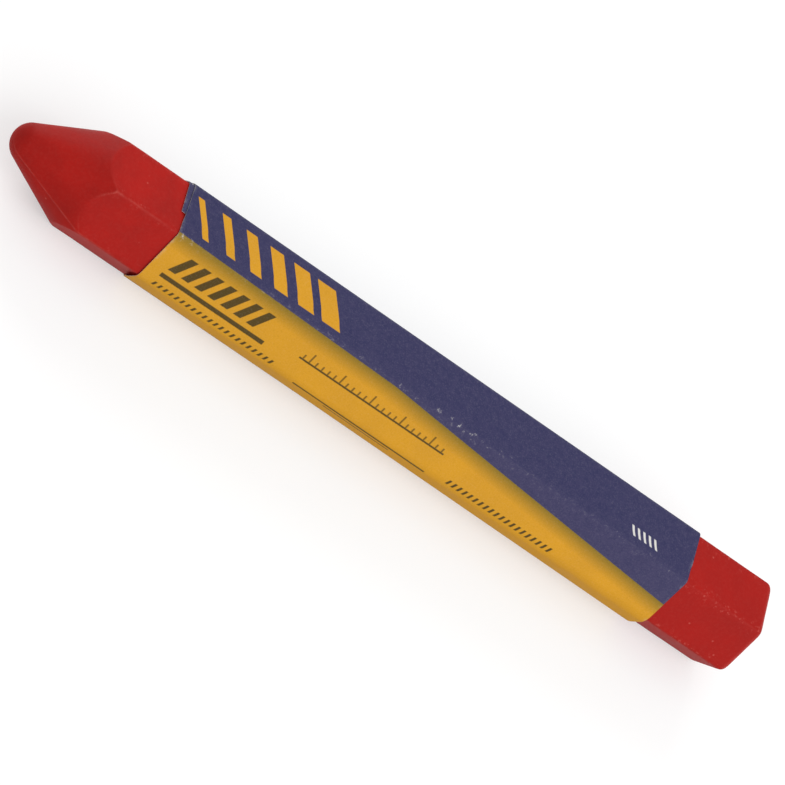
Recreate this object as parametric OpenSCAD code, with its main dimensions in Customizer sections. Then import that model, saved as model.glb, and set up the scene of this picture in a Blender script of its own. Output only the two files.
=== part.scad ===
// Marking crayon: a moulded hexagonal wax stick with a conical tip, in a rolled paper wrapper.
// The wrapper is one sheet of paper. It is folded round the six edges of the stick, its outer end
// laps over its inner end, and a line of glue holds the lap. At the front the inner end peeps out
// from under the outer one.
// The crayon lies along X with its tip towards -X, on the wrapper's bottom panel. Millimetres.

/* [Wax stick] */
// Length from the nose to the butt
stick_length = 120.6; // [112:0.1:160]
// Width across two opposite flats
across_flats = 12.7; // [10:0.1:18]
// Radius of the six long edges
edge_r = 0.6; // [0.2:0.05:1.2]
// Radius of the rounding round the butt
butt_r = 1.3; // [0.3:0.05:2]

/* [Tip] */
// Length from the nose to where the six long edges begin
tip_length = 12.1; // [9:0.1:18]
// Radius of the round nose
nose_r = 2.7; // [1.5:0.05:3.5]

/* [Paper wrapper] */
// Length of the sheet along the stick
wrapper_length = 84.8; // [40:0.1:88]
// Length of stick left bare in front of the wrapper, from the nose
bare_front = 21.9; // [19:0.1:24]
// Thickness of the paper
paper_t = 0.11; // [0.08:0.01:0.3]
// Running clearance between the paper and the wax
wrap_clear = 0.06; // [0.03:0.01:0.3]
// How far the inner end of the sheet peeps out at the front
peep = 0.7; // [0.1:0.05:1.5]
// Distance of the inner end of the sheet from the middle of the top flat
inner_end = 0.7; // [0:0.05:0.8]
// Length of the ramp that lifts the sheet over its own inner end
ramp = 1.2; // [0.6:0.05:1.3]
// Length of the flap behind the last fold, on the flat beside the top one
flap = 5; // [4.5:0.05:5.5]

/* [Glue line] */
// Thickness of the glue between the two layers of paper
glue_t = 0.03; // [0.02:0.01:0.1]
// Width of the glue line
glue_w = 3; // [1:0.05:3.2]
// Distance from the glue line to the edge of the flap
glue_inset = 0.4; // [0.2:0.05:0.6]
// Distance from the ends of the glue line to the ends of the sheet
glue_end = 2; // [0.5:0.1:10]

/* [Hidden] */

$fn = 96;
FLATS = 6;
TURN = 360 / FLATS;
// Flat steps in a rounded edge, an odd number so that one faces straight out
EDGE_STEPS = 5;
// Angle at which the roundings of the butt and the nose meet the faces behind them
ROUND_EDGE = 8;
// How far shapes that only cut others reach past them
OVER = 2;

nose_x = -stick_length / 2;
butt_x = stick_length / 2;
shoulder_x = nose_x + tip_length;
nose_centre_x = nose_x + nose_r;
wrapper_x = nose_x + bare_front;

apothem = across_flats / 2;
side = 2 * apothem * tan(TURN / 2);
// Distance of the rounded edges from the axis
corner = (apothem - edge_r) / cos(TURN / 2) + edge_r;
// Depth of the middle of the butt's rounding under the flats
butt_depth = butt_r * cos(ROUND_EDGE);

// The cone from the front ends of the long edges runs into the round nose at this distance from its middle
nose_in = nose_r * cos(ROUND_EDGE);
tip_reach = tip_length - nose_r;
cone_slope = atan2(corner, tip_reach) - asin(nose_in / norm([corner, tip_reach]));

// Heights of the four faces of the lapped sheet over the wax: inner layer, then outer layer
inner_under = wrap_clear;
inner_top = inner_under + paper_t;
outer_under = inner_top + glue_t;
outer_top = outer_under + paper_t;
// Height of the stick's axis when the bottom panel lies on Z = 0
axis_z = apothem + inner_top;

// The sheet runs over the top flat, round the last fold and down the flat beside it
last_fold = TURN;
top_normal = last_fold + TURN / 2;
flap_normal = last_fold - TURN / 2;
ramp_end = -inner_end - paper_t;
ramp_start = ramp_end - ramp;
flap_end = flap - side / 2;

// Points on a rounded edge in the YZ plane, at a height over the wax, against the direction of the wrap
function edge_centre(angle) = (corner - edge_r) * [cos(angle), sin(angle)];
function edge_points(angle, height) = [
    for (k = [0 : EDGE_STEPS])
        let (t = angle + (k / EDGE_STEPS - 0.5) * TURN)
            edge_centre(angle) + (edge_r + height) * [cos(t), sin(t)]
];

// Point over a flat, at a distance from its middle in the direction of the wrap
function flat_point(normal, along, height) =
    (apothem + height) * [cos(normal), sin(normal)] + along * [sin(normal), -cos(normal)];

function reversed(list) = [for (i = [len(list) - 1 : -1 : 0]) list[i]];

// One face of the sheet from its inner end to the edge of the flap, with its heights in both layers
function sheet_face(inner, outer) = concat(
    [flat_point(top_normal, -inner_end, inner)],
    [for (i = [0 : FLATS - 1]) each reversed(edge_points(last_fold - i * TURN, inner))],
    [flat_point(top_normal, ramp_start, inner), flat_point(top_normal, ramp_end, outer)],
    reversed(edge_points(last_fold, outer)),
    [flat_point(flap_normal, flap_end, outer)]
);

// Lays a section drawn in the YZ plane along the stick's axis, from x
module along_stick(x, length)
    translate([x, 0, axis_z]) rotate([90, 0, 90]) linear_extrude(length) children();

// Side view of what the rounded butt leaves, between two opposite flats and over them
module flat_pair_profile() difference() {
    over = apothem + OVER;
    translate([nose_x - OVER, -over]) square([stick_length + OVER, 2 * over]);
    for (s = [-1, 1])
        translate([butt_x - butt_depth, s * (apothem - butt_depth)]) difference() {
            translate([0, min(0, s * 2 * over)]) square(2 * over);
            circle(butt_r);
        }
}

// Half section of the round nose and of the cone behind it, which cuts the flats in arcs
module nose_profile() difference() {
    far = corner + OVER;
    translate([0, nose_x - OVER]) square([far, stick_length + 2 * OVER]);
    difference() {
        polygon([
            [-OVER, nose_x - 2 * OVER], [far + OVER, nose_x - 2 * OVER],
            [far + OVER, shoulder_x + 2 * OVER / tan(cone_slope)],
            [nose_in * cos(cone_slope), nose_centre_x - nose_in * sin(cone_slope)],
            [0, nose_centre_x], [-OVER, nose_centre_x]
        ]);
        translate([0, nose_centre_x]) circle(nose_r);
    }
}

module wax_stick() color("firebrick") intersection() {
    along_stick(nose_x, stick_length)
        polygon([for (i = [0 : FLATS - 1]) each edge_points(i * TURN, 0)]);
    translate([0, 0, axis_z]) intersection_for(i = [0 : FLATS / 2 - 1]) rotate([90 + i * TURN, 0, 0])
        linear_extrude(2 * (corner + OVER), center = true) flat_pair_profile();
    translate([0, 0, axis_z]) rotate([0, 90, 0]) rotate_extrude() nose_profile();
}

// In front of the outer layer's edge, only the inner end of the sheet is left
module paper_wrapper() color("darkslateblue") difference() {
    along_stick(wrapper_x - peep, wrapper_length + peep)
        polygon(concat(sheet_face(inner_top, outer_top), reversed(sheet_face(inner_under, outer_under))));
    along_stick(wrapper_x - peep - OVER, peep + OVER) difference() {
        square(2 * (corner + OVER), center = true);
        polygon([
            flat_point(top_normal, ramp_end + paper_t / 2, 0),
            flat_point(top_normal, ramp_end + paper_t / 2, inner_top + glue_t / 2),
            flat_point(top_normal, edge_centre(last_fold)[0], inner_top + glue_t / 2),
            flat_point(top_normal, edge_centre(last_fold)[0], 0)
        ]);
    }
}

// Flat strip between the two layers, near the edge of the flap
module seam_glue() color("ivory")
    translate([wrapper_x + glue_end, 0, axis_z]) rotate([flap_normal - top_normal, 0, 0])
        translate([0, flap_end - glue_inset - glue_w, apothem + inner_top])
            cube([wrapper_length - 2 * glue_end, glue_w, glue_t]);

wax_stick();
paper_wrapper();
seam_glue();
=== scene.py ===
"""Marking crayon: a cast wax stick in a rolled and printed paper wrapper, on a pale floor.

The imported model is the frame. The wax stick and the paper wrapper are made here with Geometry
Nodes in the place of their plain solids, and the glue line keeps its solid.
"""

import math

import bpy
from bpy.props import FloatProperty, FloatVectorProperty, IntProperty, PointerProperty
from bpy.types import Operator, Panel, PropertyGroup
from mathutils import Matrix, Vector


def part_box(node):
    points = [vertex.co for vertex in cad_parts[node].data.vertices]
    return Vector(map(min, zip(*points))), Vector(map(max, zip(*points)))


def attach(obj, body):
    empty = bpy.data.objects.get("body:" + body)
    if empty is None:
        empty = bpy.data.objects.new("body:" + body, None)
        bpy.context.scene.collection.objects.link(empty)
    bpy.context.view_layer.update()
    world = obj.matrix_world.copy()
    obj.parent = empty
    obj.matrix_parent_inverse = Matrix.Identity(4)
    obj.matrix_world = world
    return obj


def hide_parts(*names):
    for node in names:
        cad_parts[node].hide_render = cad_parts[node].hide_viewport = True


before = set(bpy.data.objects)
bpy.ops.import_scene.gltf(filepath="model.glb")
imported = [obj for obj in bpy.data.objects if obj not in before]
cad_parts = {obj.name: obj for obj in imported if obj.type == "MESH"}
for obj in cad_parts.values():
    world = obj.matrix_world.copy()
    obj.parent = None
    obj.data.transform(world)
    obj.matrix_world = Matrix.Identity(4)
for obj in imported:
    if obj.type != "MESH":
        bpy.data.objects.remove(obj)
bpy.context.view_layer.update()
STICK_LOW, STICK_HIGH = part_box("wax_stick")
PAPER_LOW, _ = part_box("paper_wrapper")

bl_info = {
    "name": "Marking crayon",
    "version": (1, 0, 0),
    "blender": (4, 5, 0),
    "location": "3D View > Sidebar > Crayon",
    "description": "Makes a hexagonal marking crayon in a printed paper wrapper",
    "category": "Object",
}

MM = 0.001
FLATS = 6
TURN = math.radians(60)
HALF_TURN = TURN / 2
RIGHT_ANGLE = math.pi / 2
WHITE = (1.0, 1.0, 1.0, 1.0)

# Points closer than this are one point
SAME_PLACE = 1e-7
# Edges of a mesh that turn by more than this are shaded sharp
SHARP_ANGLE = math.radians(55)

# Rows of the wax stick's mesh, from the nose to the middle of the butt, and columns in each flat
NOSE_ROWS, TIP_ROWS, SHOULDER_ROWS, BODY_ROWS, BUTT_ROWS, END_ROWS = 16, 30, 44, 215, 8, 14
STRETCHES = (NOSE_ROWS, TIP_ROWS, SHOULDER_ROWS, BODY_ROWS, BUTT_ROWS, END_ROWS)
ROWS = sum(STRETCHES)
FLAT_COLUMNS = 36
COLUMNS = FLATS * FLAT_COLUMNS
# Length of finer rows on either side of the shoulder
SHOULDER_ZONE = 0.8 * MM

# The flats are numbered from the top one, down the far side and up the near side
TOP, FLAP, NEAR_LOW, NEAR_HIGH = 0, 1, 4, 5
# The sheet's bends in order: four tight folds, the bow in three bends, and the two folds of the top flat
FAR_LOW_FOLD, NEAR_LOW_FOLD, BOW_BEND, TOP_FOLD, LAST_FOLD = 2, 3, 5, 7, 8
CREASES = (0, 1, FAR_LOW_FOLD, NEAR_LOW_FOLD, TOP_FOLD, LAST_FOLD)
# Radii of the soft bends where the sheet leaves the flat and at the height of the bow
LEAVE_RADIUS = 3 * MM
BOW_RADIUS = 4 * MM
# Steps in each bend, in the climb over the inner end, and in each straight stretch between them
BEND_STEPS, CLIMB_STEPS, STRAIGHT_STEPS = 8, 8, 10
# Reach of the rubbed paper beside a fold and of the worn rim beside a cut edge
FOLD_REACH = 0.55 * MM
RIM_REACH = 0.10 * MM

# The print is laid out in millimetres on the flat sheet, and its marks have edges this soft
SOFT_EDGE = 0.05
SHEET_LENGTH = 85.0

FLOOR_HALF = 3.0
FLOOR_DROP = 0.02 * MM
SENSOR_WIDTH = 36.0
# Each lamp's name, width and direction from the crayon. The lamps stand a metre away.
LAMPS = (("key", 1.1, (0.44, -0.60, 0.66)), ("rim", 0.6, (-0.08, 0.87, 0.48)))


def length(name, description, default):
    """A size in metres that the panel shows in the scene's units."""
    return FloatProperty(name=name, description=description, default=default, precision=5, unit="LENGTH")


def number(name, description, default, **limits):
    """A number with no unit of Blender's, or with the subtype that limits gives."""
    return FloatProperty(name=name, description=description, default=default, **limits)


def angle(name, description, degrees):
    """An angle given in degrees."""
    return number(name, description, math.radians(degrees), subtype="ANGLE")


def place(name, description, default):
    """A point or a shift in metres."""
    return FloatVectorProperty(name=name, description=description, default=default,
                               subtype="TRANSLATION", unit="LENGTH")


def colour(name, description, default):
    """A colour without its alpha."""
    return FloatVectorProperty(name=name, description=description, default=default, size=3,
                               min=0, max=1, subtype="COLOR")


class WaxSettings(PropertyGroup):
    """Sizes and colours of the wax stick."""

    stick_length: length("Length", "Length from the nose to the butt", STICK_HIGH.x - STICK_LOW.x)
    across_flats: length("Across flats", "Width across two opposite flats", STICK_HIGH.z - STICK_LOW.z)
    axis_height: length("Axis height", "Height of the stick's axis", (STICK_LOW.z + STICK_HIGH.z) / 2)
    sharpness: number("Edge sharpness", "How crisp the six long edges are", 50, min=8, max=200)
    tip_length: length("Tip length", "Length from the nose to where the long edges begin", 0.0121)
    nose_radius: length("Nose radius", "Radius of the round nose", 0.0027)
    nose_lean: place("Nose lean", "How far the nose sits off the stick's axis", (0, -0.00015, -0.00011))
    butt_radius: length("Butt radius", "Radius of the rounding round the butt", 0.0013)
    shoulder: length("Shoulder softness", "How softly the tip runs into the flats", 0.00012)
    parting: length("Parting line", "Height of the mould's parting line on the tip", 0.00005)
    sink: length("Sink", "Depth of the shallow hollows that the wax shrinks into", 0.00009)
    red: colour("Wax", "Colour of the wax", (0.425, 0.0075, 0.0040))
    # The worn colour also paints the highlight along the long edges
    worn: colour("Worn wax", "Colour of the wax where its edges are rubbed", (0.56, 0.10, 0.08))


class PaperSettings(PropertyGroup):
    """Sizes and colours of the rolled paper and its glue."""

    front: length("Front", "Place of the inner end's front corner along the stick", PAPER_LOW.x + 0.0001)
    rear: length("Rear", "Place of the rear edge along the stick, on the fold beside the lap", 0.04646)
    front_creep: number("Front creep", "Drift of the front edge for each length of sheet", 0.0115)
    rear_creep: number("Rear creep", "Drift of the rear edge for each length of sheet", 0.036)
    front_dip: length("Front dip", "How far the front edge is rubbed back under the nearer side", 0.002)
    corner_skew: length("Corner skew", "How far the outer end's front corner is cut back", 0.00025)
    thickness: length("Thickness", "Thickness of the paper", 0.00011)
    clearance: length("Clearance", "Gap between the paper and the wax", 0.00006)
    glue: length("Glue", "Thickness of the glue in the lap", 0.00003)
    fold_radius: length("Fold radius", "Radius of the wax edges under the folds", 0.0006)
    inner_end: length("Inner end", "Distance of the inner end from the middle of the top flat", 0.0007)
    ramp: length("Ramp", "Length of the ramp over the sheet's own inner end", 0.0012)
    flap: length("Flap", "Length of the flap behind the last fold", 0.005)
    front_slack: length("Front slack", "How far the sheet bows off the lower flat at the front", 0.00056)
    rear_slack: length("Rear slack", "How far the sheet bows off the lower flat at the rear", 0.0009)
    front_reach: length("Front reach", "Distance of the bow from the nearer edge at the front", 0.0025)
    rear_reach: length("Rear reach", "Distance of the bow from the nearer edge at the rear", 0.0037)
    front_touch: length("Front touch", "Distance from the nearer edge to the bow's start, in front", 0.0056)
    rear_touch: length("Rear touch", "Distance from the nearer edge to the bow's start, behind", 0.0062)
    front_curl: length("Front curl", "Radius of the sheet round the nearer edge at the front", 0.0013)
    rear_curl: length("Rear curl", "Radius of the sheet round the nearer edge at the rear", 0.0022)
    columns: IntProperty(name="Columns", default=200, min=20,
                         description="Points of the sheet's mesh along the stick")
    white: colour("Paper", "Colour of the bare paper", (0.80, 0.78, 0.73))
    stain: colour("Stain", "Colour of the paper where wax has soaked into it", (0.55, 0.10, 0.08))
    glue_tint: colour("Dried glue", "Colour of the dried glue", (0.72, 0.62, 0.42))


class PrintSettings(PropertyGroup):
    """Colours and layout of the print on the paper."""

    blue: colour("Blue", "Colour of the upper ground", (0.028, 0.028, 0.090))
    # The paler blue also paints the sheen on the blue under the top fold
    faded: colour("Faded blue", "Colour of the upper ground where the ink is thin", (0.068, 0.058, 0.130))
    yellow: colour("Yellow", "Colour of the lower ground", (0.62, 0.295, 0.014))
    dark: colour("Dark ink", "Colour of the marks on the yellow ground", (0.040, 0.030, 0.006))
    shade: colour("Shade", "Colour of the yellow ground just under the blue one", (0.228, 0.150, 0.013))
    shade_width: number("Shade width", "Width of the soft shade under the blue, in millimetres", 2.3)
    slant_start: number("Slant start", "Where the blue begins to widen, in millimetres from the front", 36.0)
    slant_depth: number("Slant depth", "How far the blue widens to the rear, in millimetres", 4.0)


class StageSettings(PropertyGroup):
    """Camera, floor and light."""

    azimuth: angle("Azimuth", "Direction of the camera round the crayon", -39.71)
    elevation: angle("Elevation", "Height of the camera over the horizon", 44.31)
    roll: angle("Roll", "Turn of the camera about its line of sight", 64.54)
    distance: length("Distance", "Distance of the camera from the point that it looks at", 0.8448)
    aim: place("Aim", "Point in the middle of the picture", (0.0008, -0.0004, 0.0067))
    lens: number("Lens", "Focal length on a 36 mm sensor, in millimetres", 315.15)
    floor: colour("Floor", "Colour of the floor", (0.55, 0.55, 0.55))
    lift: number("Lift", "How far the floor is lifted to white for the camera", 0.46)
    sky: number("Sky", "Strength of the light from all round", 0.64)
    key: number("Key light", "Power of the large lamp on the near side", 6.3, subtype="POWER")
    rim: number("Rim light", "Power of the large lamp on the far side", 3.1, subtype="POWER")


class Term:
    """A number in a node tree. Sums and products of terms become Math nodes."""

    def __init__(self, nodes, socket):
        self.nodes = nodes
        self.socket = socket

    def __add__(self, other):
        return self.nodes.math("ADD", self, other)

    def __radd__(self, other):
        return self.nodes.math("ADD", other, self)

    def __sub__(self, other):
        return self.nodes.math("SUBTRACT", self, other)

    def __rsub__(self, other):
        return self.nodes.math("SUBTRACT", other, self)

    def __mul__(self, other):
        return self.nodes.math("MULTIPLY", self, other)

    def __rmul__(self, other):
        return self.nodes.math("MULTIPLY", other, self)

    def __truediv__(self, other):
        return self.nodes.math("DIVIDE", self, other)

    def __rtruediv__(self, other):
        return self.nodes.math("DIVIDE", other, self)

    def __pow__(self, other):
        return self.nodes.math("POWER", self, other)


class Nodes:
    """Adds nodes to one tree and joins them."""

    def __init__(self, tree):
        self.tree = tree

    def put(self, socket, value):
        """Links a term or a socket to a socket, or sets the socket's own value."""
        if isinstance(value, Term):
            value = value.socket
        if isinstance(value, bpy.types.NodeSocket):
            self.tree.links.new(value, socket)
        else:
            socket.default_value = value

    def add(self, kind, inputs=None, **settings):
        """A new node with its settings, and its inputs by name or number."""
        node = self.tree.nodes.new(kind)
        for name, value in settings.items():
            setattr(node, name, value)
        for name, value in (inputs or {}).items():
            self.put(node.inputs[name], value)
        return node

    def math(self, operation, *values):
        node = self.add("ShaderNodeMath", dict(enumerate(values)), operation=operation)
        return Term(self, node.outputs[0])

    def ramp(self, value, low, high, start=0.0, end=1.0, smooth=False):
        """Goes from start to end while value goes from low to high, and stays there."""
        node = self.add("ShaderNodeMapRange", {0: value, 1: low, 2: high, 3: start, 4: end},
                        interpolation_type="SMOOTHSTEP" if smooth else "LINEAR")
        return Term(self, node.outputs[0])

    def near(self, distance, width):
        """One at no distance, falling to nothing at width."""
        return self.ramp(self.math("ABSOLUTE", distance), 0.0, width, 1.0, 0.0)

    def band(self, value, low, high, soft):
        """One between low and high, with soft edges."""
        return self.ramp(value, low - soft, low + soft) * self.ramp(value, high - soft, high + soft, 1.0, 0.0)

    def most(self, *terms):
        """The largest of several terms."""
        result = terms[0]
        for term in terms[1:]:
            result = self.math("MAXIMUM", result, term)
        return result

    def vector(self, x, y, z):
        return self.add("ShaderNodeCombineXYZ", {0: x, 1: y, 2: z}).outputs[0]

    def parts(self, vector):
        node = self.add("ShaderNodeSeparateXYZ", {0: vector})
        return [Term(self, socket) for socket in node.outputs]

    def stretch(self, vector, scale):
        node = self.add("ShaderNodeVectorMath", {0: vector, 3: scale}, operation="SCALE")
        return node.outputs[0]

    def join(self, first, second):
        return self.add("ShaderNodeVectorMath", {0: first, 1: second}, operation="ADD").outputs[0]

    def noise(self, place, scale, detail=2.0, roughness=0.5):
        """Cloudy noise from 0 to 1, with scale spots in a metre."""
        node = self.add("ShaderNodeTexNoise", {"Vector": place, "Scale": scale, "Detail": detail,
                                               "Roughness": roughness})
        return Term(self, node.outputs[0])

    def cells(self, place, scale):
        """Distance to the nearest of scattered points, and a number for each point."""
        node = self.add("ShaderNodeTexVoronoi", {"Vector": place, "Scale": scale})
        return Term(self, node.outputs["Distance"]), self.parts(node.outputs["Color"])[0]

    def blend(self, amount, first, second):
        """First colour at no amount, second colour at one."""
        node = self.add("ShaderNodeMix", {0: amount, 6: first, 7: second}, data_type="RGBA")
        return node.outputs[2]


class GeometryTree(Nodes):
    """A Geometry Nodes tree with named inputs."""

    KINDS = {float: "NodeSocketFloat", int: "NodeSocketInt", Vector: "NodeSocketVector",
             bpy.types.Material: "NodeSocketMaterial"}

    def __init__(self, name, sizes):
        super().__init__(bpy.data.node_groups.new(name, "GeometryNodeTree"))
        self.sizes = sizes
        self.tree.interface.new_socket("Geometry", in_out="OUTPUT", socket_type="NodeSocketGeometry")
        self.tree.interface.new_socket("Geometry", in_out="INPUT", socket_type="NodeSocketGeometry")
        for size, value in sizes.items():
            self.tree.interface.new_socket(size, in_out="INPUT", socket_type=self.KINDS[type(value)])
        self.input = self.tree.nodes.new("NodeGroupInput")
        self.output = self.tree.nodes.new("NodeGroupOutput")

    def size(self, name):
        """A named input, as a term."""
        return Term(self, self.input.outputs[name])

    def position(self):
        return self.add("GeometryNodeInputPosition").outputs[0]

    def step(self, kind, geometry, inputs=None, **settings):
        """A node that takes a geometry in its first socket and gives one back."""
        node = self.add(kind, inputs, **settings)
        self.put(node.inputs[0], geometry)
        return node.outputs[0]

    def store(self, geometry, name, value, kind="FLOAT", domain="POINT"):
        """Keeps a value on the points or faces under a name that the materials read."""
        return self.step("GeometryNodeStoreNamedAttribute", geometry, {"Name": name, "Value": value},
                         data_type=kind, domain=domain)

    def stored(self, name):
        """A number kept on the points, as a term."""
        return Term(self, self.add("GeometryNodeInputNamedAttribute", {"Name": name}).outputs[0])

    def stored_vector(self, name):
        """The three parts of a vector kept on the points."""
        node = self.add("GeometryNodeInputNamedAttribute", {"Name": name}, data_type="FLOAT_VECTOR")
        return self.parts(node.outputs[0])

    def finish(self, geometry, **material):
        """Ends the tree in Realize Instances and Set Material."""
        real = self.step("GeometryNodeRealizeInstances", geometry)
        self.put(self.output.inputs[0], self.step("GeometryNodeSetMaterial", real, material))

    def grow(self, name, context, base=None):
        """Runs the tree and returns its result as a plain mesh object."""
        maker = bpy.data.objects.new(name + "_maker", base or bpy.data.meshes.new(name + "_base"))
        context.scene.collection.objects.link(maker)
        modifier = maker.modifiers.new(name, "NODES")
        modifier.node_group = self.tree
        for item in self.tree.interface.items_tree:
            if item.in_out == "INPUT" and item.name in self.sizes:
                modifier[item.identifier] = self.sizes[item.name]
        graph = context.evaluated_depsgraph_get()
        mesh = bpy.data.meshes.new_from_object(maker.evaluated_get(graph))
        bpy.data.objects.remove(maker)
        if not mesh.polygons:
            raise RuntimeError(name + " has no faces")
        mesh.name = name
        mesh.set_sharp_from_angle(angle=SHARP_ANGLE)
        piece = bpy.data.objects.new(name, mesh)
        context.scene.collection.objects.link(piece)
        return piece


class Finish(Nodes):
    """A procedural material with one Principled shader."""

    def __init__(self, name, **values):
        self.material = bpy.data.materials.new(name)
        self.material.use_nodes = True
        super().__init__(self.material.node_tree)
        self.tree.nodes.clear()
        inputs = {socket.replace("_", " "): value for socket, value in values.items()}
        self.shader = self.add("ShaderNodeBsdfPrincipled", inputs)
        output = self.tree.nodes.new("ShaderNodeOutputMaterial")
        self.tree.links.new(self.shader.outputs[0], output.inputs[0])
        self.place = self.add("ShaderNodeTexCoord").outputs["Object"]

    def set(self, socket, value):
        """Sets or links an input of the shader."""
        self.put(self.shader.inputs[socket], value)

    def spots(self, scale, detail=2.0, roughness=0.5):
        """Cloudy noise on the piece's own coordinates."""
        return self.noise(self.place, scale, detail, roughness)

    def stored(self, name):
        """A number kept on the mesh, as a term."""
        return Term(self, self.add("ShaderNodeAttribute", attribute_name=name).outputs["Fac"])

    def stored_vector(self, name):
        """The three parts of a vector kept on the mesh."""
        return self.parts(self.add("ShaderNodeAttribute", attribute_name=name).outputs["Vector"])

    def bump(self, height, distance, strength):
        node = self.add("ShaderNodeBump", {"Strength": strength, "Distance": distance, "Height": height})
        self.set("Normal", node.outputs[0])


def paint(rgb, tone=1.0):
    """A colour with its alpha, made darker or lighter by a tone."""
    return (*[tone * c for c in rgb], 1.0)


def wax_finish(wax):
    """Satin red wax: cloudy colour, pale specks, rubbed edges with a painted highlight, painted shade towards
    the butt and a fine cast grain.
    """
    finish = Finish("Red wax", IOR=1.45, Specular_IOR_Level=0.18, Subsurface_Weight=0.06,
                    Subsurface_Scale=0.6 * MM, Subsurface_Radius=(1.0, 0.2, 0.15))
    cloud = finish.spots(190, detail=5, roughness=0.6)
    grain = finish.spots(2600, detail=3, roughness=0.6)

    # Painted shade: the wax is painted a deeper red towards the butt, where the light falls off
    x, _, _ = finish.parts(finish.place)
    bright = finish.ramp(cloud, 0.3, 0.7) * finish.ramp(x, 30 * MM, 58 * MM, 1.0, 0.45)
    ground = finish.blend(bright, paint(wax.red, 0.78), paint(wax.red))
    ground = finish.blend(finish.ramp(grain, 0.45, 0.85) * 0.08, ground, paint(wax.worn))

    distance, chance = finish.cells(finish.place, 700)
    speck = finish.ramp(distance, 0.05, 0.13, 1.0, 0.0) * finish.ramp(chance, 0.72, 0.74)
    patchy = finish.spots(900, detail=6, roughness=0.72)
    # Pale wax on the edges: partly rubbed wax, partly a painted highlight along the long edges and the tip's
    # arcs
    rub_and_highlight = finish.stored("edge") * finish.ramp(patchy, 0.38, 0.60, 0.12, 0.80)
    flecks = finish.spots(1700, detail=3, roughness=0.7)
    fleck = finish.stored("scuffed") * finish.ramp(flecks, 0.575, 0.68)
    worn = finish.most(speck * 0.55, rub_and_highlight, fleck * 0.6)
    finish.set("Base Color", finish.blend(worn, ground, paint(wax.worn)))
    finish.set("Roughness", finish.ramp(cloud, 0.2, 0.8, 0.54, 0.68))
    finish.bump(grain + cloud * 0.6 - speck * 0.4, 0.03 * MM, 0.6)
    return finish.material


def sink_wax(tree, mesh):
    """Shallow hollows and dents, nearly all inwards, so that the paper keeps its clearance."""
    spot = tree.position()
    normal = tree.add("GeometryNodeInputNormal").outputs[0]
    dent, chance = tree.cells(spot, 170)
    dents = tree.ramp(dent, 0.02, 0.24, 1.0, 0.0, smooth=True) * tree.ramp(chance, 0.70, 0.74)
    depth = tree.noise(spot, 95) * 0.75 + tree.noise(spot, 700) * 0.25 + dents * 0.45
    offset = tree.stretch(normal, (0.35 - depth) * tree.size("Sink"))
    return tree.step("GeometryNodeSetPosition", mesh, {"Offset": offset})


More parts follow.
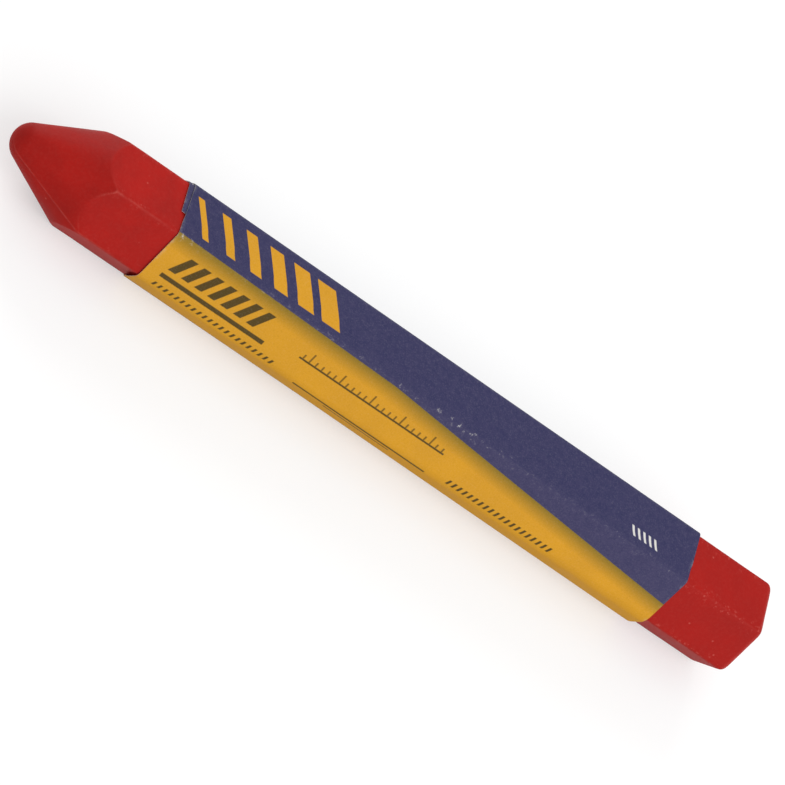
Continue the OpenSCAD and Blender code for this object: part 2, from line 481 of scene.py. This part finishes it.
def wax_stick(context):
    """The cast stick: a rounded hexagon, cut by the cone of the tip, with a round nose and a soft butt."""
    wax = context.scene.crayon_wax
    tree = GeometryTree("Cast wax stick", {
        "Length": wax.stick_length, "Across Flats": wax.across_flats, "Axis Height": wax.axis_height,
        "Edge Sharpness": wax.sharpness, "Tip Length": wax.tip_length, "Nose Radius": wax.nose_radius,
        "Nose Lean": Vector(wax.nose_lean), "Butt Radius": wax.butt_radius, "Shoulder Softness": wax.shoulder,
        "Parting Line": wax.parting, "Sink": wax.sink, "Wax": wax_finish(wax),
    })
    size = tree.size
    grid = tree.add("GeometryNodeMeshGrid", {"Size X": 1.0, "Size Y": 1.0, "Vertices X": ROWS + 1,
                                             "Vertices Y": COLUMNS + 1}).outputs[0]
    across, around, _ = tree.parts(tree.position())
    row = (across + 0.5) * ROWS
    stretches, start = [], 0
    for rows in STRETCHES:
        stretches.append(tree.ramp(row, start, start + rows))
        start += rows
    nose, tip, shoulder, body, butt, end = stretches

    # Radius of the hexagon at an angle from the middle of its flat, with columns crowded towards the edges
    column = (around + 0.5) * COLUMNS / FLAT_COLUMNS
    flat = tree.math("MINIMUM", tree.math("FLOOR", column), FLATS - 1)
    swing = (column - flat) * 2 - 1
    swing = swing * (1.5 - 0.5 * swing * swing) * HALF_TURN
    turned = HALF_TURN + flat * TURN + swing
    half = size("Across Flats") / 2
    sharp = size("Edge Sharpness")
    butt_radius = size("Butt Radius")
    fall = butt_radius * (1 - tree.math("COSINE", butt * RIGHT_ANGLE))
    blunt = sharp * (1 - 0.7 * butt)
    powers = [tree.math("COSINE", side) ** blunt for side in (swing, TURN - swing, TURN + swing)]
    hexagon = (half - fall) * (powers[0] + powers[1] + powers[2]) ** (-1 / blunt)
    edge_radius = half / math.cos(HALF_TURN) * tree.math("POWER", 2, -1 / sharp)

    # Cone that touches the nose and reaches the six edges at their front ends
    nose_radius = size("Nose Radius")
    reach = size("Tip Length") - nose_radius
    slope = (tree.math("ARCTAN2", edge_radius, reach)
             - tree.math("ARCSINE", nose_radius / tree.math("SQRT", edge_radius ** 2 + reach ** 2)))
    slant = tree.math("TANGENT", slope)
    polar = RIGHT_ANGLE + nose * (slope - RIGHT_ANGLE)
    nose_x = size("Length") * -0.5
    front_x = nose_x + nose_radius * (1 - tree.math("SINE", polar))
    edge_x = nose_x + size("Tip Length")
    flat_x = edge_x - (edge_radius - half) / slant
    butt_x = size("Length") * 0.5 - butt_radius
    cone_x = nose_x + nose_radius * (1 - tree.math("SINE", slope))
    x = (front_x + tip * (flat_x - SHOULDER_ZONE - cone_x)
         + shoulder * (edge_x - flat_x + 2 * SHOULDER_ZONE)
         + body * (butt_x - edge_x - SHOULDER_ZONE)
         + butt_radius * tree.math("SINE", butt * RIGHT_ANGLE))
    cone = nose_radius * tree.math("COSINE", polar) + (x - front_x) * slant
    toward_edge = tree.math("ABSOLUTE", swing) / HALF_TURN
    low_side = tree.band(turned, 2.5 * TURN, 3 * TURN, 0.12)
    soft = size("Shoulder Softness") * (tree.ramp(toward_edge, 0.55, 0.97, 1.0, 0.3) + 6 * low_side)
    radius = tree.math("SMOOTH_MIN", cone, hexagon, soft) * (1 - end)

    # The mould's halves meet on two opposite edges and leave a fine line on the tip
    on_tip = tree.ramp(x, edge_x - 0.5 * MM, edge_x, 1.0, 0.0) * nose
    parting = tree.near(radius * tree.math("SINE", turned), 0.16 * MM) * on_tip
    radius = radius + parting * size("Parting Line")

    # Where the wax is rubbed: long edges, the arcs of the tip near them, the parting line and the butt.
    # On the long edges, fading from the tip, and on the tip's arcs, mostly on the near side, the pale wax is
    # also a painted highlight
    on_body = tree.ramp(x, edge_x - 0.2 * MM, edge_x + 0.2 * MM)
    from_edge = (1 - toward_edge) * HALF_TURN * radius
    fading = tree.ramp(x, edge_x, edge_x + 9 * MM, 0.70, 0.06)
    edge_rub_and_highlight = tree.near(from_edge, 0.22 * MM) * on_body * fading * (1 - butt)
    near_side = tree.band(turned, 2 * TURN, 2.5 * TURN, 0.02)
    by_edge = tree.ramp(toward_edge, 0.35, 0.9)
    arc = tree.near(cone - hexagon, 0.10 * MM) * by_edge * (0.25 + 0.75 * near_side)
    butt_edge = tree.band(butt, 0.35, 0.8, 0.2) * (1 - end) * 0.5
    mesh = tree.store(grid, "edge", tree.most(edge_rub_and_highlight, arc, parting * 0.5, butt_edge))
    handled = tree.ramp(x, edge_x, 40 * MM, 0.45, 1.0)
    mesh = tree.store(mesh, "scuffed", tree.near(from_edge, 1.2 * MM) * on_body * (1 - butt) * handled)

    lean = tree.stretch(size("Nose Lean"), tree.ramp(x, nose_x, edge_x + 2 * MM, 1.0, 0.0))
    spot = tree.vector(x, radius * tree.math("COSINE", turned),
                       size("Axis Height") + radius * tree.math("SINE", turned))
    mesh = tree.step("GeometryNodeSetPosition", mesh, {"Position": tree.join(spot, lean)})
    mesh = tree.step("GeometryNodeMergeByDistance", mesh, {"Distance": SAME_PLACE})
    mesh = tree.step("GeometryNodeFlipFaces", mesh)
    mesh = sink_wax(tree, mesh)
    mesh = tree.step("GeometryNodeSetShadeSmooth", mesh)
    tree.finish(mesh, Material=size("Wax"))

    piece = tree.grow("cast_wax", context)
    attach(piece, "crayon")
    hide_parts("wax_stick")


def rounded(first, second, radius):
    """An arc that joins two lines, each a pair of points."""
    out = (first[1] - first[0]).normalized()
    onward = (second[1] - second[0]).normalized()
    meet = first[0] + out * ((second[0] - first[0]).cross(onward) / out.cross(onward))
    bend = math.copysign(out.angle(onward), out.cross(onward))
    start = meet - out * radius * math.tan(abs(bend) / 2)
    centre = start + Vector((-out.y, out.x)) * math.copysign(radius, bend)
    turns = [Matrix.Rotation(bend * i / BEND_STEPS, 2) for i in range(BEND_STEPS + 1)]
    return [centre + turn @ (start - centre) for turn in turns]


def sheet_path(wax, paper, slack, reach, touch, curl):
    """Points of the sheet's inner side from its inner end to the flap, and the numbers of those on bends.

    The section lies across the stick. The sheet starts on the top flat, goes down the far side,
    under the stick, up the near side and over its own inner end. It bows off the nearer lower flat.
    """
    half = wax.across_flats / 2
    corner = half * math.tan(HALF_TURN)
    low = paper.clearance
    high = low + paper.thickness + paper.glue
    tight = paper.fold_radius + low

    def over_flat(flat, along, height):
        """A point over a flat, at a distance from its middle."""
        normal = RIGHT_ANGLE - flat * TURN
        out = Vector((math.cos(normal), math.sin(normal)))
        return out * (half + height) + Vector((out.y, -out.x)) * along

    def line(flat, start, end):
        """A line over a flat from edge to edge, with its heights there."""
        return over_flat(flat, -corner, start), over_flat(flat, corner, end)

    # A wide fold has to stand off the nearer edge to clear it
    off = low + (curl - paper.fold_radius) * (1 - math.cos(HALF_TURN))
    leave = over_flat(NEAR_LOW, corner - touch, low)
    bow = over_flat(NEAR_LOW, corner - reach, slack)
    lines = [line(flat, low, low) for flat in range(TOP, NEAR_LOW + 1)]
    lines += [(leave, bow), (bow, over_flat(NEAR_LOW, corner, off)), line(NEAR_HIGH, off, low)]
    lines.append(line(TOP, low, low))
    radii = [tight, tight, tight, tight, LEAVE_RADIUS, BOW_RADIUS, curl, tight]
    bends = [rounded(*pair, radius) for *pair, radius in zip(lines, lines[1:], radii)]
    bends.append(rounded(line(TOP, high, high), line(FLAP, high, high), tight + high - low))

    # The sheet climbs over its own inner end in a smooth ramp
    ramp_end = -paper.inner_end - paper.thickness
    climb = []
    for i in range(CLIMB_STEPS + 1):
        share = i / CLIMB_STEPS
        rise = (high - low) * share * share * (3 - 2 * share)
        climb.append(over_flat(TOP, ramp_end - paper.ramp * (1 - share), low + rise))
    inner_end = [over_flat(TOP, -paper.inner_end, low)]
    flap_end = [over_flat(FLAP, paper.flap - corner, high)]

    points, marks = [], []
    for run in (inner_end, *bends[:LAST_FOLD], climb, bends[LAST_FOLD], flap_end):
        if points:
            start = points[-1]
            gap = run[0] - start
            points += [start + gap * (i / STRAIGHT_STEPS) for i in range(1, STRAIGHT_STEPS)]
        if run in bends:
            marks.append(len(points) + BEND_STEPS // 2)
        points += run
    return points, marks


def between(value, stops):
    """A value read off a line through stops, pairs of place and value in rising order."""
    if value <= stops[0][0]:
        return stops[0][1]
    for (x0, y0), (x1, y1) in zip(stops, stops[1:]):
        if value <= x1:
            return y0 + (y1 - y0) * (value - x0) / (x1 - x0)
    return stops[-1][1]


class PrintFinish(Finish):
    """Ink on paper, laid out in millimetres along the sheet from its front and down from its top fold."""

    def __init__(self):
        super().__init__("Printed paper", IOR=1.42, Specular_IOR_Level=0.25)
        self.along, below, _ = self.stored_vector("sheet")
        self.grain = self.spots(5200, roughness=0.7)
        self.patch = self.spots(160, detail=3)
        # The grain of the paper makes the edges of the print slightly ragged
        self.down = below + (self.grain - 0.5) * 0.07

    def stripe(self, value, low, high):
        """One between low and high, with the soft edge of a printed mark."""
        return self.band(value, low, high, SOFT_EDGE)

    def repeats(self, value, pitch):
        """Where a value lies in a row of like marks, from 0 to 1 in each."""
        return self.math("FRACT", value / pitch)

    def from_mark(self, value):
        """Distance from the nearest whole number."""
        return self.math("FRACT", value + 0.5) - 0.5

    def rule(self, top, foot, start, end):
        """A plain line along the sheet."""
        return self.stripe(self.down, top, foot) * self.stripe(self.along, start, end)

    def dark_marks(self):
        """Bars over a rule, ticks on a fine rule, two low rules and rows of small dashes."""
        slant = self.along + self.down * 0.5
        bars = (self.band(self.repeats(slant, 2.1), 0.16, 0.72, 0.03)
                * self.stripe(slant, 4.2, 18.9) * self.stripe(self.down, 1.75, 4.55))
        under_bars = self.rule(5.25, 5.85, 2.0, 18.6)
        fine_rule = self.rule(4.25, 4.5, 23.5, 47.5)
        low_rules = self.rule(7.5, 7.7, 25.5, 47.5) + self.rule(8.0, 8.2, 31.0, 42.0)

        # Each fifth tick is taller
        fifth = self.ramp(self.math("ABSOLUTE", self.from_mark(self.along / 5)), 0.09, 0.11, 1.0, 0.0)
        tick_top = 3.6 - fifth * 0.7
        ticks = (self.near(self.from_mark(self.along), 0.2) * self.stripe(self.along, 23.8, 47.2)
                 * self.ramp(self.down, tick_top, tick_top + 0.05)
                 * self.ramp(self.down, 4.25, 4.3, 1.0, 0.0))

        rows = self.most(self.stripe(slant, 5.4, 25.2), self.stripe(slant, 54.0, 72.0))
        dashes = self.stripe(self.repeats(slant, 0.9), 0.2, 0.62) * self.stripe(self.down, 6.7, 7.25) * rows
        return self.most(bars, under_bars, fine_rule, low_rules, ticks, dashes)

    def wide_bars(self):
        """Slanted bars on the blue ground, each wider than the one in front of it."""
        slant = self.along - self.down * 0.5
        width = self.ramp(slant, 4.0, 28.0, 0.24, 0.80)
        return (self.ramp(self.repeats(slant, 3.9), width - 0.012, width + 0.012, 1.0, 0.0)
                * self.stripe(slant, 3.9, 27.2) * self.stripe(self.down, -6.15, -1.25))

    def rear_dashes(self):
        """Short dashes on the blue ground near the rear edge."""
        slant = self.along - self.down * 0.5
        return (self.stripe(self.repeats(slant, 0.95), 0.2, 0.6) * self.stripe(slant, 76.0, 80.75)
                * self.stripe(self.down, -2.5, -1.2))

    def wear(self):
        """Bare paper at scuffed folds and along the cut edges."""
        fold = self.stored("fold")
        worn = self.spots(620, detail=4, roughness=0.7)
        scuff = self.spots(1500, detail=3, roughness=0.7)
        handled = self.most(self.ramp(self.along, 0.0, 4.0, 1.0, 0.0), self.band(self.along, 40.0, 54.0, 6.0))
        upper_fold = self.ramp(self.down, -2.0, -1.0, 0.1, 0.3 + 0.7 * handled)
        rubbed = fold * self.ramp(scuff + handled * 0.035, 0.60, 0.73) * upper_fold
        hair = self.ramp(fold, 0.80, 1.0) * self.ramp(worn, 0.50, 0.70) * 0.06
        rim = self.stored("rim") * self.ramp(worn, 0.50, 0.72, 0.0, 0.22)
        cut = self.stored("cut") * self.ramp(worn, 0.3, 0.7, 0.30, 0.62)
        return self.most(rubbed * 0.6, hair, rim, cut)


def print_finish(printing, paper, hidden):
    """Two printed grounds with a soft shade between them, plain marks, worn folds, paper grain and painted
    sheen on the blue under the top fold.

    The blue ground begins again on the hidden side of the sheet, at a distance below the top fold.
    """
    finish = PrintFinish()
    along, down = finish.along, finish.down
    border = (finish.ramp(along, 0.0, printing.slant_start, -0.2, 0.4)
              + finish.ramp(along, printing.slant_start, SHEET_LENGTH, 0.0, printing.slant_depth))
    under = down - border

    bright = finish.ramp(finish.patch, 0.35, 0.65)
    yellow = finish.blend(bright, paint(printing.yellow), paint(printing.yellow, 1.07))
    shade = finish.ramp(under, 0.0, printing.shade_width, 1.0, 0.0) ** 1.05
    lower = finish.blend(shade, yellow, paint(printing.shade))
    lower = finish.blend(finish.dark_marks() * 0.93, lower, paint(printing.dark))

    # Painted sheen: the blue is paler at random where the ink is thin, and it is also painted paler on the
    # flat under the top fold, as if that flat caught more light
    tint = finish.spots(1500, detail=4, roughness=0.75)
    paler = finish.ramp(tint, 0.35, 0.7, 0.0, 0.42) + finish.ramp(down, -0.6, 0.2, 0.0, 0.28)
    upper = finish.blend(paler, paint(printing.blue), paint(printing.faded))
    upper = finish.blend(finish.wide_bars(), upper, yellow)
    upper = finish.blend(finish.rear_dashes() * 0.85, upper, paint(paper.white))

    crisp = 0.04
    on_blue = finish.most(finish.ramp(under, -crisp, crisp, 1.0, 0.0),
                          finish.ramp(down, hidden - crisp, hidden + crisp))
    ink = finish.blend(on_blue, lower, upper)

    # Pale and dark dots of the print, then the bare paper where it is worn
    pale_dots = finish.ramp(finish.grain, 0.52, 0.80) * 0.05
    dark_dots = finish.ramp(finish.grain, 0.20, 0.46, 1.0, 0.0) * 0.16
    ink = finish.blend(pale_dots, ink, paint(paper.white))
    ink = finish.blend(dark_dots, ink, paint(printing.dark, 0.3))
    finish.set("Base Color", finish.blend(finish.wear(), ink, paint(paper.white)))
    finish.set("Roughness", finish.ramp(finish.patch, 0.3, 0.7, 0.60, 0.72))
    finish.bump(finish.grain * 0.5 + finish.patch, 0.02 * MM, 0.5)
    return finish.material


def bare_paper_finish(paper):
    """Unprinted paper with its fibres, stained by the wax in blots."""
    finish = Finish("Bare paper", Roughness=0.85, IOR=1.4)
    fibre = finish.spots(3800, detail=4, roughness=0.7)
    tone = finish.blend(finish.ramp(fibre, 0.3, 0.7), paint(paper.white, 0.9), paint(paper.white))
    blot = finish.ramp(finish.spots(210, detail=4, roughness=0.6), 0.45, 0.75) * 0.3
    finish.set("Base Color", finish.blend(blot, tone, paint(paper.stain)))
    finish.bump(fibre, 0.03 * MM, 0.5)
    return finish.material


def path_mesh(wax, paper):
    """The sheet's section at its front edge as a line of points, and where the hidden blue ground begins.

    Each point also keeps where the front and rear edges lie along the stick, its place in the rear
    section, its distance below the top fold, and how near it is to a fold or to an end of the sheet.
    """
    points, marks = sheet_path(wax, paper, slack=paper.front_slack, reach=paper.front_reach,
                               touch=paper.front_touch, curl=paper.front_curl)
    rear_points, _ = sheet_path(wax, paper, slack=paper.rear_slack, reach=paper.rear_reach,
                                touch=paper.rear_touch, curl=paper.rear_curl)
    travel = [0.0]
    for first, second in zip(points, points[1:]):
        travel.append(travel[-1] + (second - first).length)
    bends = [travel[i] for i in marks]
    creases = [bends[i] for i in CREASES]
    top_fold = bends[TOP_FOLD]
    wide = travel[-1]

    skew = [(top_fold, 0), (bends[LAST_FOLD], paper.corner_skew)]
    dip = [(bends[FAR_LOW_FOLD], 0), (bends[NEAR_LOW_FOLD], paper.front_dip), (bends[BOW_BEND], 0)]
    readings = {
        "below": [(top_fold - way) / MM for way in travel],
        "fold": [max(0.0, 1 - min(abs(way - fold) for fold in creases) / FOLD_REACH) for way in travel],
        "side": [max(0.0, 1 - min(way, wide - way) / RIM_REACH) for way in travel],
        "front": [paper.front + paper.front_creep * way + between(way, skew) + between(way, dip)
                  for way in travel],
        "rear": [paper.rear + paper.rear_creep * (way - top_fold) for way in travel],
        "rear_y": [point.x for point in rear_points],
        "rear_z": [point.y + wax.axis_height for point in rear_points],
    }
    path = bpy.data.meshes.new("sheet_path")
    corners = [(0, point.x, point.y + wax.axis_height) for point in points]
    path.from_pydata(corners, [(i, i + 1) for i in range(len(points) - 1)], [])
    for name, values in readings.items():
        path.attributes.new(name, "FLOAT", "POINT").data.foreach_set("value", values)
    return path, (top_fold - bends[FAR_LOW_FOLD]) / MM


def paper_wrapper(context):
    """The rolled sheet: a path round the stick, swept along it, with the thickness of the paper."""
    scene = context.scene
    wax, paper, printing = scene.crayon_wax, scene.crayon_paper, scene.crayon_print
    path, hidden = path_mesh(wax, paper)
    tree = GeometryTree("Rolled paper", {
        "Length": paper.rear - paper.front, "Thickness": paper.thickness, "Columns": paper.columns,
        "Print": print_finish(printing, paper, hidden), "Bare Paper": bare_paper_finish(paper),
    })
    size = tree.size
    section = tree.step("GeometryNodeMeshToCurve", tree.input.outputs["Geometry"])
    section = tree.store(section, "spot", tree.position(), "FLOAT_VECTOR")
    rail = tree.add("GeometryNodeCurvePrimitiveLine", {"End": (1.0, 0.0, 0.0)}).outputs[0]
    rail = tree.step("GeometryNodeResampleCurve", rail, {"Count": size("Columns")})
    rail = tree.store(rail, "along", tree.add("GeometryNodeSplineParameter").outputs[0])
    sheet = tree.add("GeometryNodeCurveToMesh", {"Curve": rail, "Profile Curve": section}).outputs[0]

    # Each point runs from its place at the front edge to its place at the rear edge
    along = tree.stored("along")
    _, spot_y, spot_z = tree.stored_vector("spot")
    front, rear = tree.stored("front"), tree.stored("rear")
    rear_y, rear_z = tree.stored("rear_y"), tree.stored("rear_z")
    spot = tree.vector(front + along * (rear - front), spot_y + along * (rear_y - spot_y),
                       spot_z + along * (rear_z - spot_z))
    sheet = tree.step("GeometryNodeSetPosition", sheet, {"Position": spot})

    # What the print reads: the rim of the sheet, and the place on the flat sheet in millimetres
    from_end = tree.math("MINIMUM", along, 1 - along) * size("Length") / MM
    rim = tree.most(tree.stored("side"), tree.ramp(from_end, 0.0, RIM_REACH / MM, 1.0, 0.0))
    sheet = tree.store(sheet, "rim", rim)
    flat_place = tree.vector(along * size("Length") / MM, tree.stored("below"), 0.0)
    sheet = tree.store(sheet, "sheet", flat_place, "FLOAT_VECTOR")
    sheet = tree.step("GeometryNodeFlipFaces", sheet)

    # The sheet is the inside, and its printed face and cut edges are pushed out from it
    wall = tree.add("GeometryNodeExtrudeMesh", {"Mesh": sheet, "Offset Scale": size("Thickness"),
                                                "Individual": False})
    inside = tree.step("GeometryNodeFlipFaces", sheet)
    inside = tree.step("GeometryNodeSetMaterial", inside, {"Material": size("Bare Paper")})
    both = tree.add("GeometryNodeJoinGeometry")
    tree.put(both.inputs[0], wall.outputs["Mesh"])
    tree.put(both.inputs[0], inside)
    whole = tree.step("GeometryNodeMergeByDistance", both.outputs[0], {"Distance": SAME_PLACE})
    whole = tree.step("GeometryNodeSetShadeSmooth", whole)
    whole = tree.store(whole, "cut", wall.outputs["Side"], domain="FACE")
    printed = tree.math("MAXIMUM", wall.outputs["Top"], wall.outputs["Side"])
    tree.finish(whole, Material=size("Print"), Selection=printed)

    piece = tree.grow("printed_paper", context, path)
    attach(piece, "wrapper")
    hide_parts("paper_wrapper")


def seam_glue(context):
    """Dried glue on the line that closes the lap."""
    paper = context.scene.crayon_paper
    finish = Finish("Dried glue", IOR=1.47, Transmission_Weight=0.15)
    smear = finish.spots(700, detail=4, roughness=0.6)
    tint = finish.blend(finish.ramp(smear, 0.3, 0.7), paint(paper.glue_tint, 0.7), paint(paper.glue_tint))
    finish.set("Base Color", tint)
    finish.set("Roughness", finish.ramp(smear, 0.3, 0.7, 0.28, 0.5))
    finish.bump(smear, 0.02 * MM, 0.5)
    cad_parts["seam_glue"].material_slots[0].material = finish.material


def floor_finish(stage):
    """Pale floor that keeps the shadow, lifted to white for the camera and in reflections."""
    finish = Finish("Pale floor", Base_Color=paint(stage.floor), Roughness=0.9, Specular_IOR_Level=0.0)
    path = finish.add("ShaderNodeLightPath")
    rays = ("Is Camera Ray", "Is Glossy Ray", "Is Transmission Ray")
    seen = finish.most(*[Term(finish, path.outputs[kind]) for kind in rays])
    finish.set("Emission Color", WHITE)
    finish.set("Emission Strength", seen * stage.lift)
    return finish.material


def lay_floor(scene, stage):
    """A wide floor, just under the crayon."""
    mesh = bpy.data.meshes.new("floor")
    corners = [(x * FLOOR_HALF, y * FLOOR_HALF, -FLOOR_DROP) for x, y in ((-1, -1), (1, -1), (1, 1), (-1, 1))]
    mesh.from_pydata(corners, [], [(0, 1, 2, 3)])
    mesh.materials.append(floor_finish(stage))
    floor = bpy.data.objects.new("floor", mesh)
    scene.collection.objects.link(floor)


def set_lights(scene, stage):
    """Soft light from all round and two large lamps."""
    world = bpy.data.worlds.new("Studio")
    world.use_nodes = True
    background = world.node_tree.nodes["Background"]
    background.inputs["Color"].default_value = WHITE
    background.inputs["Strength"].default_value = stage.sky
    scene.world = world

    for name, width, direction in LAMPS:
        light = bpy.data.lights.new(name, "AREA")
        light.shape = "DISK"
        light.size = width
        light.energy = getattr(stage, name)
        lamp = bpy.data.objects.new(name, light)
        toward = Vector(direction).normalized()
        lamp.matrix_world = Matrix.Translation(toward) @ toward.to_track_quat("Z", "Y").to_matrix().to_4x4()
        scene.collection.objects.link(lamp)


def set_camera(scene, stage):
    """The camera at its angles and distance from the point that it looks at."""
    azimuth, elevation, roll = stage.azimuth, stage.elevation, stage.roll
    ahead = math.cos(elevation)
    back = Vector((math.sin(azimuth) * ahead, -math.cos(azimuth) * ahead, math.sin(elevation)))
    level = Vector((math.cos(azimuth), math.sin(azimuth), 0))
    upright = back.cross(level)
    right = level * math.cos(roll) + upright * math.sin(roll)
    up = upright * math.cos(roll) - level * math.sin(roll)
    data = bpy.data.cameras.new("camera")
    data.sensor_fit = "HORIZONTAL"
    data.sensor_width = SENSOR_WIDTH
    data.lens = stage.lens
    data.clip_start = 0.05
    data.clip_end = 20.0
    camera = bpy.data.objects.new("camera", data)
    turn = Matrix((right, up, back)).transposed().to_4x4()
    camera.matrix_world = Matrix.Translation(Vector(stage.aim) + back * stage.distance) @ turn
    scene.collection.objects.link(camera)
    scene.camera = camera


def set_stage(context):
    """Floor, light and camera."""
    scene = context.scene
    stage = scene.crayon_stage
    lay_floor(scene, stage)
    set_lights(scene, stage)
    set_camera(scene, stage)
    scene.view_settings.view_transform = "Standard"


class CRAYON_OT_wax_stick(Operator):
    """Make the cast wax stick in the place of its plain solid"""

    bl_idname = "crayon.wax_stick"
    bl_label = "Wax stick"

    def execute(self, context):
        wax_stick(context)
        return {"FINISHED"}


class CRAYON_OT_paper_wrapper(Operator):
    """Roll the printed paper round the stick in the place of its plain solid"""

    bl_idname = "crayon.paper_wrapper"
    bl_label = "Paper wrapper"

    def execute(self, context):
        paper_wrapper(context)
        return {"FINISHED"}


class CRAYON_OT_seam_glue(Operator):
    """Give the glue line in the lap its finish"""

    bl_idname = "crayon.seam_glue"
    bl_label = "Glue line"

    def execute(self, context):
        seam_glue(context)
        return {"FINISHED"}


class CRAYON_OT_stage(Operator):
    """Set the floor, the light and the camera"""

    bl_idname = "crayon.stage"
    bl_label = "Stage"

    def execute(self, context):
        set_stage(context)
        return {"FINISHED"}


class CRAYON_PT_panel(Panel):
    """The crayon's pieces and their settings"""

    bl_label = "Marking crayon"
    bl_space_type = "VIEW_3D"
    bl_region_type = "UI"
    bl_category = "Crayon"

    def draw(self, context):
        for operators, groups in SECTIONS:
            box = self.layout.box()
            for operator in operators:
                box.operator(operator)
            for group in groups:
                settings = getattr(context.scene, group)
                for name in settings.__annotations__:
                    box.prop(settings, name)


# The panel's boxes: their operators, and the settings that those operators read
SECTIONS = (
    (("crayon.stage",), ("crayon_stage",)),
    (("crayon.wax_stick",), ("crayon_wax",)),
    (("crayon.paper_wrapper", "crayon.seam_glue"), ("crayon_paper", "crayon_print")),
)
GROUPS = {"crayon_wax": WaxSettings, "crayon_paper": PaperSettings, "crayon_print": PrintSettings,
          "crayon_stage": StageSettings}
CLASSES = (*GROUPS.values(), CRAYON_OT_wax_stick, CRAYON_OT_paper_wrapper, CRAYON_OT_seam_glue,
           CRAYON_OT_stage, CRAYON_PT_panel)


def register():
    for item in CLASSES:
        bpy.utils.register_class(item)
    for name, group in GROUPS.items():
        setattr(bpy.types.Scene, name, PointerProperty(type=group))


def unregister():
    for name in GROUPS:
        delattr(bpy.types.Scene, name)
    for item in reversed(CLASSES):
        bpy.utils.unregister_class(item)


def main():
    register()
    bpy.ops.crayon.stage()
    bpy.ops.crayon.wax_stick()
    bpy.ops.crayon.paper_wrapper()
    bpy.ops.crayon.seam_glue()


if __name__ == "__main__":
    main()
